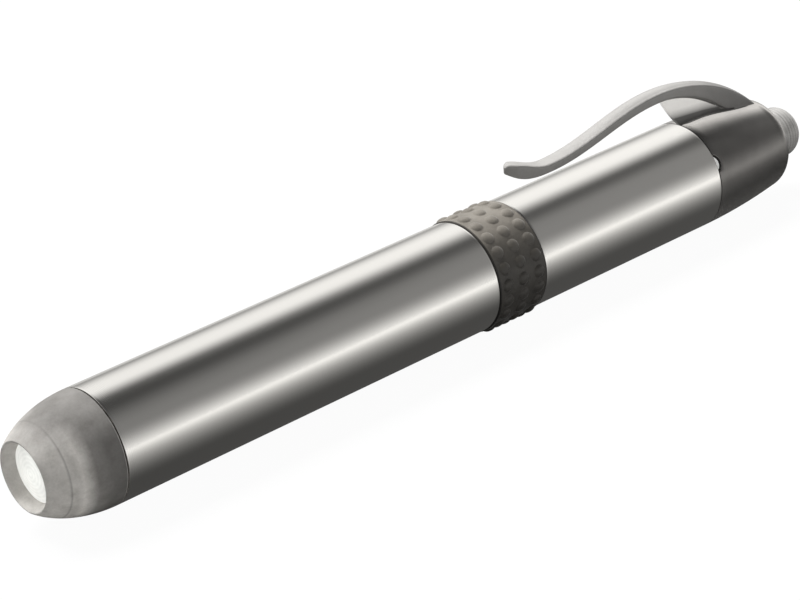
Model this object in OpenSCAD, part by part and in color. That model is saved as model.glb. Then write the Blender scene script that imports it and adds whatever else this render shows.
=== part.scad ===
// Pocket penlight: metal tube, screwed translucent nose, rubber grip ring, tail cap with a moulded clip and push button.
// Millimetres. The pen is drawn on its own axis, nose towards -X, clip up, with x = 0 at the tube's front rim.
// lay() then sets it on the surface that it rests on, with the origin under the middle of its length.

/* [Cells] */
// Diameter of one cell
cell_d = 10.5; // [10:0.1:12]
// Length of one cell with its nub
cell_l = 44.5; // [40:0.1:52]
// Height of the nub
nub_h = 1; // [0.8:0.1:1.2]
// Diameter of the nub
nub_d = 3.8; // [3:0.1:4.2]
// Room between the cells and the sleeve round them
cell_room = 0.35; // [0.3:0.05:0.5]
// Wall of the insulating sleeve
sleeve_wall = 0.6; // [0.5:0.05:0.8]

/* [Barrel] */
// Wall of the metal tube
barrel_wall = 0.8; // [0.7:0.05:0.9]
// Chamfer on both rims of the tube
rim_chamfer = 0.15; // [0.05:0.05:0.3]

/* [Grip ring] */
// Distance from the tube's front rim to the ring
ring_x = 55; // [20:0.5:56]
// Width of the ring along the tube
ring_w = 7.85; // [7.6:0.05:9]
// Depth of the groove that the ring lies in
ring_seat = 0.35; // [0.2:0.05:0.4]
// Height of the plain band above the tube
ring_proud = 0.2; // [0:0.05:0.3]
// Diameter of a bump at its foot
bump_d = 1.8; // [1.2:0.1:2]
// Height of a bump above the band
bump_h = 0.25; // [0.2:0.05:0.6]
// Rows of bumps along the tube
bump_rows = 3; // [1:1:3]
// Distance between two rows
bump_pitch = 2.55; // [2.1:0.05:2.7]
// Bumps in one row round the ring, an odd number so that the pen rests between two of them
bump_count = 21; // [13:2:21]

/* [Nose hood] */
// Length of the hood ahead of the tube
hood_l = 9; // [8.6:0.05:10]
// Bluntness of the hood's outline
hood_blunt = 2; // [1.9:0.05:2.6]
// Diameter of the flared mouth at the front edge
mouth_d = 8.1; // [7.8:0.1:8.6]
// Diameter of the light's opening round the lens
aperture_d = 7.2; // [6:0.1:7.4]
// Depth from the front edge to the lens seat
aperture_depth = 3.75; // [3.45:0.05:4]
// Radius of the rounded front edge
lip_r = 0.15; // [0.1:0.05:0.3]
// Length of the lens ahead of its seat
lens_nose = 2.2; // [1.6:0.1:2.4]
// Thickness of the lens flange
lens_flange_t = 0.8; // [0.6:0.1:1]
// Height of the lens crown
lens_crown = 0.6; // [0.3:0.1:1]

/* [Light engine] */
// Diameter of the emitter's body
led_d = 5; // [4.6:0.1:5.2]
// Length of the emitter from crown to back
led_l = 5.8; // [5.4:0.1:6.2]
// Rim of the emitter beyond its body
led_rim = 0.4; // [0.2:0.1:0.5]
// Thickness of the emitter's rim
led_rim_t = 1; // [0.6:0.1:1.2]
// Space for the leads between emitter and board
lead_l = 1.2; // [1:0.1:1.6]
// Distance between the two leads
lead_pitch = 2.54; // [2:0.1:3]
// Thickness of a lead
lead_t = 0.5; // [0.4:0.05:0.6]
// Thickness of the circuit board
board_t = 1; // [0.8:0.1:1.2]
// Thickness of the front contact
contact_t = 0.8; // [0.6:0.1:1]
// Thickness of the earth ring
earth_ring_t = 0.5; // [0.3:0.1:0.5]

/* [Neck and seals] */
// How far the neck stands ahead of the tube
neck_out = 3.5; // [2.8:0.1:4]
// How far the neck is pressed into the tube
neck_in = 6; // [4:0.5:10]
// Thickness of a round seal
seal_t = 0.55; // [0.45:0.05:0.6]
// Depth of a seal's groove
seal_seat = 0.3; // [0.25:0.05:0.3]

/* [Tail cap] */
// Amount that the cap narrows towards its end face
cap_draw = 0.88; // [0.5:0.02:1]
// Length of the rounded end corner
cap_corner = 2; // [1.6:0.1:2.4]
// Diameter of the flat end face
cap_face_d = 8.2; // [8:0.1:9]
// Wall of the cap's end
cap_end_t = 2.2; // [2:0.1:2.6]
// Diameter of the button's hole
button_hole_d = 7.5; // [7.2:0.1:7.7]
// Angle from the clip to the notch in the cap's rim
notch_angle = 61.6; // [40:0.1:120]
// Radius of the notch
notch_r = 1.35; // [1.1:0.05:1.6]
// Depth of the notch
notch_depth = 0.85; // [0.6:0.05:1.1]
// Gap between the notch and the locating lug
lug_gap = 0.2; // [0.15:0.05:0.3]

/* [Clip] */
// Length of the clip ahead of the cap
clip_l = 30.4; // [24:0.2:31]
// Width of the clip
clip_w = 2.3; // [2:0.1:3]
// Thickness of the clip at its lowest place
clip_t = 1.2; // [1:0.1:1.6]
// Gap between the clip and the tube
clip_gap = 1.9; // [1.2:0.1:2.5]
// Height of the clip's crest above the tube
clip_rise = 6.2; // [5.8:0.1:8]
// Thickness of the clip at its crest
crest_t = 1.5; // [1.2:0.1:1.8]
// How far the tip turns up
tip_lift = 1.7; // [0.8:0.1:2.4]
// Distance from the tip to the lowest place
tip_l = 6.6; // [5:0.1:8]
// Distance from the crest to the cap
crest_l = 4.6; // [3:0.1:6]
// Radius of the spine behind the crest
spine_r = 26; // [24:0.5:30]
// Radius of the arch under the spine
arch_r = 17.5; // [16:0.5:20]
// Length of the arch behind the crest
arch_l = 11.5; // [10:0.5:12.5]
// Thickness of the web under the spine
web_t = 0.6; // [0.4:0.1:1]
// Height of the clip's foot above the cap
foot_h = 0.5; // [0.2:0.1:0.8]

/* [Tail switch] */
// Diameter of the push button
button_d = 6.7; // [6:0.1:6.9]
// How far the button stands out of the cap
button_out = 5.7; // [4:0.1:7]
// Height of the button's crown
button_crown = 2.5; // [1.5:0.1:3]
// Travel of the button
button_travel = 1.5; // [1:0.1:1.5]
// Thickness of the button's flange
button_flange_t = 1.1; // [0.8:0.1:1.2]
// Diameter of the plunger's stem
stem_d = 3.2; // [2.6:0.1:3.4]
// Length of the plunger ahead of its collar
plunger_lead = 1.4; // [1:0.1:2]
// Rim of the plunger's collar beyond the stem
collar_rim = 1.8; // [1.4:0.1:2]
// Thickness of the plunger's collar
collar_t = 0.8; // [0.5:0.1:1]
// Thickness of the ratchet rotor
rotor_t = 1.4; // [1:0.1:2]
// Height of the rotor's teeth
tooth_h = 0.5; // [0.3:0.1:0.7]
// Wall of the switch housing
housing_wall = 1.7; // [1.4:0.1:1.8]
// Thickness of the housing's floor
switch_floor_t = 1.2; // [0.8:0.1:1.6]
// Radius of the contact rivet
rivet_r = 1; // [0.7:0.1:1.2]
// Thickness of the rivet's heads
rivet_head_t = 0.4; // [0.3:0.1:0.6]
// Length of the tail bush inside the tube
bush_in = 7.8; // [5:0.1:10]
// Length of the tail bush inside the cap
bush_out = 4.2; // [3.8:0.1:4.6]
// How far the switch reaches into the tail bush
switch_lap = 0.65; // [0.5:0.05:1]
// Height of the tail spring at rest
tail_spring_l = 3.8; // [3.4:0.1:6]
// Turns of the tail spring
tail_spring_turns = 3; // [2:0.5:3]
// Turns of the switch spring
switch_spring_turns = 3; // [2:0.5:3]
// Teeth of the ratchet rotor
rotor_teeth = 8; // [4:1:10]

/* [Hidden] */
$fn = 96;
eps = 0.01;

// Clearances
joint_gap = 0.15;
thread_clear = 0.05;
slide_clear = 0.1;
cell_clear = 0.15;
thrust_gap = 0.15;
seal_clear = 0.05;
stop_gap = 0.3;

// Radii that fit each other
cell_r = cell_d / 2;
sleeve_r = cell_r + cell_room;
bore_r = sleeve_r + sleeve_wall;
barrel_r = bore_r + barrel_wall;
engine_bore_r = cell_r + cell_clear;
engine_r = engine_bore_r - slide_clear;
neck_step = 0.2;
neck_r = bore_r - neck_step;
thread_r = neck_r + thread_clear;
seal_floor_r = neck_r - seal_seat + thread_clear;
band_r = barrel_r + ring_proud;
crown_r = band_r + bump_h;
ball_r = (bump_d * bump_d / 4 + bump_h * bump_h) / (2 * bump_h);
mouth_r = mouth_d / 2;
aperture_r = aperture_d / 2;
led_r = led_d / 2;
lug_r = notch_r - lug_gap;
cap_cavity_r = sleeve_r;
button_r = button_d / 2;
button_hole_r = button_hole_d / 2;
button_flange_r = button_hole_r + 0.85;
stem_r = stem_d / 2;

// Places along the axis, from the nose to the tail
lens_seat_x = aperture_depth - hood_l;
lens_front_x = lens_seat_x - lens_nose;
lens_back_x = lens_seat_x + lens_flange_t;
engine_x = lens_back_x + thrust_gap;
led_tip_x = engine_x + 0.05;
led_back_x = led_tip_x + led_l;
led_rim_x = led_back_x - led_rim_t;
holder_x = led_rim_x - 1;
board_x = led_back_x + lead_l;
board_back_x = board_x + board_t;
cells_x = board_back_x + contact_t;
cells_mid_x = cells_x + cell_l;
cells_back_x = cells_mid_x + cell_l;
switch_x = cells_back_x + tail_spring_l;
switch_floor_x = switch_x + switch_floor_t;
bush_back_x = switch_x + switch_lap;
cap_x = bush_back_x - bush_out;
press_gap = 0.2;
plunger_tip_x = switch_floor_x + rivet_head_t + button_travel + press_gap;
collar_x = plunger_tip_x + plunger_lead;
rotor_x = collar_x + collar_t + thrust_gap;
flange_x = rotor_x + rotor_t + tooth_h + stop_gap;
flange_back_x = flange_x + button_flange_t;
cavity_back_x = flange_back_x + stop_gap;
cap_back_x = cavity_back_x + cap_end_t;
cap_l = cap_back_x - cap_x;
retainer_t = 0.3;
housing_back_x = flange_x - button_travel - retainer_t - press_gap;
tip_x = cap_back_x + button_out;

// Where the pen lies: its two lowest bumps touch the surface, and the origin is under the middle
mid_x = (tip_x - hood_l) / 2;
rest_h = (crown_r - ball_r) * cos(180 / bump_count) + ball_r;
module lay() {
    translate([-mid_x, 0, rest_h]) children();
}

// Solid of revolution about the pen's axis, from an outline of [radius, x]
module turned(outline) {
    rotate([0, 90, 0]) rotate_extrude() polygon(outline);
}

module rod(x0, x1, r) {
    translate([x0, 0, 0]) rotate([0, 90, 0]) cylinder(h = x1 - x0, r = r);
}

module tube(x0, x1, r_out, r_in) {
    turned([[r_in, x0], [r_out, x0], [r_out, x1], [r_in, x1]]);
}

// Coil spring as one unbroken round wire, from the plane x0 to the plane x1
module coil(x0, x1, mean_r, wire_d, turns) {
    sides = 6;
    steps = ceil(turns * 8);
    lead = (x1 - x0 - wire_d) / turns;
    slope = atan2(lead, 2 * PI * mean_r);
    points = [for (i = [0:steps], k = [0:sides - 1])
        let (a = 360 * turns * i / steps, b = 360 * k / sides,
            radial = mean_r + cos(b) * wire_d / 2,
            aside = sin(b) * wire_d / 2)
        [x0 + wire_d / 2 + lead * a / 360 + aside * cos(slope),
            radial * cos(a) + aside * sin(slope) * sin(a),
            radial * sin(a) - aside * sin(slope) * cos(a)]];
    skin = [for (i = [0:steps - 1], k = [0:sides - 1])
        let (n = (k + 1) % sides, p = i * sides, q = p + sides)
        each [[p + k, p + n, q + n], [p + k, q + n, q + k]]];
    first = [for (k = [1:sides - 2]) [0, k + 1, k]];
    last = [for (k = [1:sides - 2]) [steps * sides, steps * sides + k, steps * sides + k + 1]];
    polyhedron(points, concat(skin, first, last));
}

// Barrel
module barrel_tube() {
    color("silver") lay() difference() {
        turned([[bore_r, 0], [barrel_r - rim_chamfer, 0], [barrel_r, rim_chamfer],
            [barrel_r, cap_x - rim_chamfer], [barrel_r - rim_chamfer, cap_x], [bore_r, cap_x]]);
        tube(ring_x, ring_x + ring_w, barrel_r + 1, barrel_r - ring_seat);
    }
}

// Grip ring: a plain band with aligned rows of round bumps
module grip_ring() {
    side_gap = 0.05;
    first_x = ring_x + (ring_w - (bump_rows - 1) * bump_pitch) / 2;
    color("dimgray") lay() difference() {
        union() {
            rod(ring_x + side_gap, ring_x + ring_w - side_gap, band_r);
            for (row = [0:bump_rows - 1], i = [0:bump_count - 1])
                rotate([360 * i / bump_count, 0, 0])
                    translate([first_x + row * bump_pitch, 0, crown_r - ball_r]) sphere(ball_r, $fn = 48);
        }
        rod(ring_x - 1, ring_x + ring_w + 1, barrel_r - ring_seat);
    }
}

// Nose
module neck_collar() {
    seal_x = -joint_gap - 0.35;
    seal_w = seal_t + 0.25;
    color("dimgray") lay() turned([[engine_bore_r, -neck_out], [neck_r, -neck_out], [neck_r, seal_x - seal_w],
        [seal_floor_r, seal_x - seal_w], [seal_floor_r, seal_x], [neck_r, seal_x], [neck_r, 0], [bore_r, 0],
        [bore_r, neck_in], [engine_bore_r, neck_in]]);
}

module nose_seal() {
    seal_x = -joint_gap - 0.35 - (seal_t + 0.25) / 2;
    color("black") lay() translate([seal_x, 0, 0]) rotate([0, 90, 0])
        rotate_extrude() translate([seal_floor_r + seal_t / 2, 0]) circle(d = seal_t, $fn = 32);
}

// Hood outline: a blunt oval that would close past the lip, run on into the rounded lip
lip_start = 45;
lip_x = hood_l - lip_r;
lip_mid_r = mouth_r + lip_r;
oval_l = lip_x + lip_r * cos(lip_start);
oval_end_r = lip_mid_r + lip_r * sin(lip_start);
reach = oval_l / pow(1 - pow(oval_end_r / barrel_r, 2), 1 / hood_blunt);
function hood_r(t) = barrel_r * sqrt(1 - pow(t / reach, hood_blunt));

module nose_hood() {
    steps = 14;
    outside = [for (i = [0:steps - 1])
        let (t = joint_gap + (oval_l - joint_gap) * sin(90 * i / steps)) [hood_r(t), -t]];
    lip = [for (i = [0:6])
        let (a = lip_start - (lip_start + 90) * i / 6)
        [lip_mid_r + lip_r * sin(a), -lip_x - lip_r * cos(a)]];
    seal_x = -joint_gap - 0.5 - seal_t - 0.25;
    seal_bore_r = seal_floor_r + seal_t + seal_clear;
    inside = [[aperture_r, lens_front_x], [aperture_r, lens_seat_x], [engine_bore_r, lens_seat_x], [engine_bore_r, -neck_out - joint_gap],
        [thread_r, -neck_out - joint_gap], [thread_r, seal_x], [seal_bore_r, seal_x], [seal_bore_r, -joint_gap]];
    color("gray") lay() turned(concat(outside, lip, inside));
}

module front_lens() {
    edge_r = aperture_r - slide_clear / 2;
    dome_r = (edge_r * edge_r + lens_crown * lens_crown) / (2 * lens_crown);
    half = asin(edge_r / dome_r);
    crown = [for (i = [0:6])
        let (a = half * i / 6) [dome_r * sin(a), lens_front_x - lens_crown + dome_r * (1 - cos(a))]];
    flange_r = engine_bore_r - slide_clear / 2;
    color("white") lay() turned(concat(crown, [[edge_r, lens_seat_x], [flange_r, lens_seat_x],
        [flange_r, lens_back_x], [0, lens_back_x]]));
}

// Light engine: everything that the tail spring pushes forward against the hood
module reflector() {
    mouth_r = engine_r - 0.4;
    throat_r = led_r + slide_clear;
    depth = holder_x - engine_x;
    bowl = [for (i = [0:6])
        let (f = i / 6) [throat_r + (mouth_r - throat_r) * sqrt(1 - f), engine_x + depth * f]];
    color("white") lay() turned(concat([[engine_r - slide_clear, engine_x]], bowl,
        [[engine_r - slide_clear, holder_x]]));
}

module led_emitter() {
    crown = [for (i = [0:6]) [led_r * sin(90 * i / 6), led_tip_x + led_r * (1 - cos(90 * i / 6))]];
    color("lightyellow") lay() turned(concat(crown, [[led_r, led_rim_x], [led_r + led_rim, led_rim_x],
        [led_r + led_rim, led_back_x], [0, led_back_x]]));
}

module led_leads() {
    color("silver") lay() for (side = [-1, 1])
        translate([led_back_x, -lead_t / 2, side * lead_pitch / 2 - lead_t / 2]) cube([lead_l, lead_t, lead_t]);
}

board_r = engine_r - 0.6;

module led_holder() {
    body_r = led_r + slide_clear / 2;
    pocket_r = led_r + led_rim + slide_clear;
    color("white") lay() turned([[body_r, holder_x], [engine_r, holder_x], [engine_r, board_back_x],
        [board_r, board_back_x], [board_r, board_x], [pocket_r, board_x], [pocket_r, led_rim_x],
        [body_r, led_rim_x]]);
}

module driver_board() {
    color("darkgreen") lay() rod(board_x, board_back_x, board_r);
}

module driver_chip() {
    chip_l = 1.6;
    chip_w = 1.2;
    chip_h = 0.6;
    chip_y = -2;
    color("black") lay() translate([board_x - chip_h, chip_y - chip_w / 2, -chip_l / 2]) cube([chip_h, chip_w, chip_l]);
}

module inductor() {
    choke_l = 1.8;
    choke_w = 1.2;
    choke_h = 0.8;
    choke_y = 2;
    color("darkslategray") lay()
        translate([board_x - choke_h, choke_y - choke_w / 2, -choke_l / 2]) cube([choke_h, choke_w, choke_l]);
}

module front_contact() {
    color("gold") lay() rod(board_back_x, cells_x, nub_d / 2 + 0.3);
}

module earth_ring() {
    color("gold") lay() tube(board_back_x, board_back_x + earth_ring_t, engine_r, board_r - 0.7);
}

// Cells
module cell(x0) {
    edge = 0.3;
    turned([[0, x0], [nub_d / 2, x0], [nub_d / 2, x0 + nub_h], [cell_r - edge, x0 + nub_h],
        [cell_r, x0 + nub_h + edge], [cell_r, x0 + cell_l - edge], [cell_r - edge, x0 + cell_l], [0, x0 + cell_l]]);
}

module cell_front() {
    color("darkgoldenrod") lay() cell(cells_x);
}

module cell_rear() {
    color("darkgoldenrod") lay() cell(cells_mid_x);
}

bush_x = cap_x - bush_in;

module insulating_sleeve() {
    color("ivory") lay() tube(neck_in, bush_x, bore_r, sleeve_r);
}

// Direction of the notch and its lug, round the axis from the clip
module at_notch(r, from_r, to_r) {
    rotate([notch_angle, 0, 0])
        translate([cap_x + notch_depth - notch_r, 0, from_r]) cylinder(h = to_r - from_r, r = r);
}

// Tail bush: pressed into the tube, it carries the cap, and its lug keeps the cap from turning
cap_seal_in = 2;
cap_seal_w = 0.8;
cap_seal_x = cap_x + cap_seal_in;

module tail_bush() {
    lug_top_r = barrel_r - 0.08;
    color("silver") lay() {
        turned([[engine_bore_r, bush_x], [bore_r, bush_x], [bore_r, cap_x], [neck_r, cap_x], [neck_r, cap_seal_x],
            [neck_r - seal_seat, cap_seal_x], [neck_r - seal_seat, cap_seal_x + cap_seal_w],
            [neck_r, cap_seal_x + cap_seal_w], [neck_r, bush_back_x], [engine_bore_r, bush_back_x]]);
        intersection() {
            at_notch(lug_r, neck_r - 0.2, barrel_r);
            tube(cap_x, cap_x + notch_depth, lug_top_r, neck_r - 0.1);
        }
    }
}

module cap_seal() {
    color("black") lay() tube(cap_seal_x, cap_seal_x + cap_seal_w, neck_r, neck_r - seal_seat);
}

// Clip outline in the plane through the axis, as heights over the axis at x
clip_x = cap_x - clip_l;
low_x = clip_x + tip_l;
crest_x = cap_x - crest_l;
low_z = barrel_r + clip_gap;
crest_z = barrel_r + clip_rise;
function ramp(f) = (1 - cos(180 * f)) / 2;
function clip_top(x) =
    x < low_x ? low_z + clip_t + tip_lift * ramp((low_x - x) / tip_l) :
    x < crest_x ? low_z + clip_t + (crest_z - low_z - clip_t) * ramp((x - low_x) / (crest_x - low_x)) :
    crest_z - spine_r + sqrt(spine_r * spine_r - pow(x - crest_x, 2));
function clip_under(x) =
    x < low_x ? low_z + tip_lift * pow((low_x - x) / tip_l, 2.7) :
    x < crest_x ? low_z + (crest_z - crest_t - low_z) * ramp((x - low_x) / (crest_x - low_x)) :
    crest_z - crest_t - arch_r + sqrt(arch_r * arch_r - pow(x - crest_x, 2));
function span(a, b, n) = [for (i = [0:n]) a + (b - a) * i / n];

cap_flat_r = cap_face_d / 2;
cap_curve_l = cap_l - cap_corner;
cap_narrow_r = barrel_r - cap_draw;
function cap_r(x) = barrel_r - cap_draw * pow((x - cap_x) / cap_curve_l, 2);

// Upright slab of the clip's outline, y_w thick
module upright(outline, y_w) {
    rotate([90, 0, 0]) translate([0, 0, -y_w / 2]) linear_extrude(y_w) polygon(outline);
}

arch_back_x = crest_x + arch_l;
web_inset = 0.8;

module clip_arm() {
    spine_back_x = cap_back_x - 0.4;
    tip_taper = 1.3;
    root_z = 0.6 * cap_flat_r;
    over = [for (x = concat(span(clip_x, low_x, 6), span(low_x, crest_x, 10), span(crest_x, spine_back_x, 8)))
        [x, clip_top(x)]];
    under = [for (x = concat(span(arch_back_x, crest_x, 6), span(crest_x, low_x, 10), span(low_x, clip_x, 6)))
        [x, clip_under(x)]];
    intersection() {
        upright(concat(over, [[spine_back_x, root_z], [arch_back_x, root_z]], under), clip_w);
        translate([0, 0, low_z - barrel_r - 1]) linear_extrude(crest_z + 2) polygon([[clip_x, 0],
            [clip_x + tip_taper, -clip_w / 2], [cap_back_x, -clip_w / 2], [cap_back_x, clip_w / 2],
            [clip_x + tip_taper, clip_w / 2]]);
    }
}

module clip_web() {
    overlap = 0.4;
    web_top = [crest_x + web_inset, clip_under(crest_x + web_inset) + overlap];
    web_knee = [cap_x - 1.3, barrel_r + 0.9];
    web_toe = [cap_x + 0.4, barrel_r - 0.3];
    edge = [for (f = span(0, 1, 6))
        pow(1 - f, 2) * web_top + 2 * f * (1 - f) * web_knee + f * f * web_toe];
    under_spine = [for (x = span(arch_back_x, crest_x + 2 * web_inset, 6)) [x, clip_under(x) + overlap]];
    upright(concat(edge, [[arch_back_x, barrel_r - 1]], under_spine), web_t);
}

module clip_foot() {
    foot_l = 6;
    upright([[cap_x, barrel_r - 0.3], [cap_x + foot_h, barrel_r + foot_h], [cap_x + foot_l, barrel_r + foot_h],
        [cap_x + foot_l + 1, barrel_r - 0.6], [cap_x + foot_l, barrel_r - 0.7]], clip_w);
}

module tail_cap() {
    gap_x = cap_x + joint_gap - 0.03;
    side = [for (x = span(gap_x, cap_x + cap_curve_l, 6)) [cap_r(x), x]];
    corner = [for (i = [1:6])
        let (a = 90 * i / 6)
        [cap_flat_r + (cap_narrow_r - cap_flat_r) * cos(a), cap_back_x - cap_corner + cap_corner * sin(a)]];
    color("dimgray") lay() difference() {
        union() {
            turned(concat([[0, gap_x]], side, corner, [[0, cap_back_x]]));
            clip_arm();
            clip_web();
            clip_foot();
        }
        rod(gap_x - 1, bush_back_x, neck_r);
        rod(bush_back_x - eps, cavity_back_x, cap_cavity_r);
        rod(cavity_back_x - eps, cavity_back_x + button_seal_t, button_seal_r);
        rod(cavity_back_x, cap_back_x + 1, button_hole_r);
        at_notch(notch_r, neck_r - 1, barrel_r + 0.5);
    }
}

// Tail switch
tail_spring_r = 3.6;
tail_wire = 0.5;

module tail_spring() {
    color("silver") lay() coil(cells_back_x, switch_x, tail_spring_r, tail_wire, tail_spring_turns);
}

housing_bore_r = cap_cavity_r - housing_wall;
strip_w = 1.6;
strip_t = 0.35;
strip_z = -cap_cavity_r + 0.1;

module switch_housing() {
    color("ivory") lay() difference() {
        turned([[0, switch_x], [engine_bore_r, switch_x], [engine_bore_r, bush_back_x], [cap_cavity_r, bush_back_x],
            [cap_cavity_r, housing_back_x], [housing_bore_r, housing_back_x], [housing_bore_r, switch_floor_x],
            [0, switch_floor_x]]);
        rod(switch_x - eps, switch_floor_x + eps, rivet_r);
        translate([bush_back_x, -strip_w / 2, strip_z - 1]) cube([cap_l, strip_w, strip_t + 1]);
    }
}

rivet_rim = 1.2;

module switch_contact() {
    color("gold") lay() turned([[0, switch_x - rivet_head_t], [rivet_r + rivet_rim, switch_x - rivet_head_t],
        [rivet_r + rivet_rim, switch_x], [rivet_r, switch_x], [rivet_r, switch_floor_x], [rivet_r + 0.5, switch_floor_x],
        [rivet_r + 0.5, switch_floor_x + rivet_head_t], [0, switch_floor_x + rivet_head_t]]);
}

module contact_strip() {
    color("gold") lay()
        translate([bush_back_x, -strip_w / 2, strip_z]) cube([housing_back_x - bush_back_x, strip_w, strip_t]);
}

module retaining_ring() {
    color("silver") lay() tube(housing_back_x, housing_back_x + retainer_t, cap_cavity_r, housing_bore_r + 0.1);
}

collar_r = stem_r + collar_rim;

module switch_spring() {
    color("silver") lay() coil(switch_floor_x, collar_x, stem_r + 1, 0.4, switch_spring_turns);
}

module switch_plunger() {
    color("gold") lay() turned([[0, plunger_tip_x], [stem_r, plunger_tip_x], [stem_r, collar_x], [collar_r, collar_x],
        [collar_r, collar_x + collar_t], [stem_r, collar_x + collar_t], [stem_r, stem_back_x], [0, stem_back_x]]);
}

module ratchet_rotor() {
    tooth_w = 0.8;
    inner_r = stem_r + thread_clear;
    color("ivory") lay() {
        tube(rotor_x, rotor_x + rotor_t, collar_r, inner_r);
        for (i = [0:rotor_teeth - 1]) rotate([360 * i / rotor_teeth, 0, 0])
            translate([rotor_x + rotor_t - eps, -tooth_w / 2, inner_r + 0.3])
                cube([tooth_h + eps, tooth_w, collar_r - inner_r - 0.5]);
    }
}

button_seal_t = 0.8;
button_seal_r = button_hole_r + 0.65;

module button_seal() {
    color("black") lay()
        tube(cavity_back_x, cavity_back_x + button_seal_t, button_seal_r, button_r + slide_clear);
}

// Push button: a crowned cap on the plunger's stem, kept in by its flange
stem_back_x = cap_back_x + 0.2;

module push_button() {
    crown_x = tip_x - button_crown;
    crown = [for (i = [0:8]) [button_r * cos(90 * i / 8), crown_x + button_crown * sin(90 * i / 8)]];
    color("lightgray") lay() turned(concat([[0, stem_back_x], [stem_r, stem_back_x], [stem_r, flange_x],
        [button_flange_r, flange_x], [button_flange_r, flange_back_x], [button_r, flange_back_x]], crown));
}

barrel_tube();
grip_ring();
neck_collar();
nose_seal();
nose_hood();
front_lens();
reflector();
led_emitter();
led_leads();
led_holder();
driver_board();
driver_chip();
inductor();
front_contact();
earth_ring();
cell_front();
cell_rear();
insulating_sleeve();
tail_bush();
cap_seal();
tail_cap();
tail_spring();
switch_housing();
switch_contact();
contact_strip();
retaining_ring();
switch_spring();
switch_plunger();
ratchet_rotor();
button_seal();
push_button();
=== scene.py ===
import bpy
import bmesh
import math
from mathutils import Matrix, Vector


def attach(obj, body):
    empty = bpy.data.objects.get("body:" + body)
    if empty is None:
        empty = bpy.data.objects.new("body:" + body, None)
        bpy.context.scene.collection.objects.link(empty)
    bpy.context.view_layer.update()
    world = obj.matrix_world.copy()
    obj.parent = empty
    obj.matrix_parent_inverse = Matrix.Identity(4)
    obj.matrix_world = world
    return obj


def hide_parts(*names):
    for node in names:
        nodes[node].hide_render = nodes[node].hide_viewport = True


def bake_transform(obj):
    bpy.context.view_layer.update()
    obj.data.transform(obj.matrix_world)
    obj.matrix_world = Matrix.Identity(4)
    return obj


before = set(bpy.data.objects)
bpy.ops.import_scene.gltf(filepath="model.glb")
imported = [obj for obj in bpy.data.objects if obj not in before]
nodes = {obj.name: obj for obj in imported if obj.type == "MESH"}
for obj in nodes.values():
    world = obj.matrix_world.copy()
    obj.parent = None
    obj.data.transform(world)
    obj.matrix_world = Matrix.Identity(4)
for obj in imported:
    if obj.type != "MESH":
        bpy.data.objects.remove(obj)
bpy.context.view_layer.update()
fullTurn = 2 * math.pi

# The pen in mm: x runs from the tube's front rim to the tail, r and z are measured from its axis
pen = {"middle": 52.75, "axisHeight": 7.3863, "tubeRadius": 7.0, "tubeLength": 93.8}


def spot(x, y, z):
    return Vector(((x - pen["middle"]) / 1000, y / 1000, (z + pen["axisHeight"]) / 1000))


print("camera")
view = {"place": (-145.9, -231.56, 143.89), "right": (0.74397, -0.66352, -0.07904),
        "up": (0.34067, 0.27488, 0.89910), "back": (-0.57484, -0.69583, 0.43055), "lens": 126.64}
scene = bpy.context.scene
cameraData = bpy.data.cameras.new("camera")
cameraData.lens = view["lens"]
cameraData.sensor_width = 36
cameraObject = bpy.data.objects.new("camera", cameraData)
turn = Matrix((view["right"], view["up"], view["back"])).transposed().to_4x4()
cameraObject.matrix_world = Matrix.Translation(spot(*view["place"])) @ turn
scene.collection.objects.link(cameraObject)
scene.camera = cameraObject
scene.view_settings.view_transform = "Standard"


# Small helpers for node trees
def addNode(tree, kind, **settings):
    node = tree.nodes.new(kind)
    for key, value in settings.items():
        if key in node.inputs:
            node.inputs[key].default_value = value
        else:
            setattr(node, key, value)
    return node


def join(tree, *pairs):
    for source, target in pairs:
        tree.links.new(source, target)


def sums(tree, how, first, second=None, third=None):
    node = addNode(tree, "ShaderNodeMath", operation=how)
    for place, value in enumerate((first, second, third)):
        if value is None:
            continue
        if isinstance(value, (int, float)):
            node.inputs[place].default_value = value
        else:
            tree.links.new(value, node.inputs[place])
    return node.outputs[0]


def rampOf(tree, source, stops):
    node = tree.nodes.new("ShaderNodeValToRGB")
    elements = node.color_ramp.elements
    while len(elements) < len(stops):
        elements.new(0.5)
    for element, (place, colour) in zip(elements, stops):
        element.position = place
        element.color = (*colour, 1) if len(colour) == 3 else colour
    tree.links.new(source, node.inputs["Fac"])
    return node.outputs["Color"]


def mixed(tree, amount, first, second, how="MIX"):
    node = addNode(tree, "ShaderNodeMix", data_type="RGBA", blend_type=how)
    for place, value in ((0, amount), (6, first), (7, second)):
        if isinstance(value, (int, float)):
            node.inputs[place].default_value = value
        elif isinstance(value, tuple):
            node.inputs[place].default_value = (*value, 1)
        else:
            tree.links.new(value, node.inputs[place])
    return node.outputs[2]


def mapRange(tree, source, first, last, low=0.0, high=1.0, **settings):
    # carries first to last over to low to high
    node = addNode(tree, "ShaderNodeMapRange", **settings)
    for label, value in (("From Min", first), ("From Max", last), ("To Min", low), ("To Max", high)):
        node.inputs[label].default_value = value
    tree.links.new(source, node.inputs["Value"])
    return node.outputs[0]


def tinted(tone, tint):
    return tuple(tone * part for part in tint)


print("light")
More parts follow.
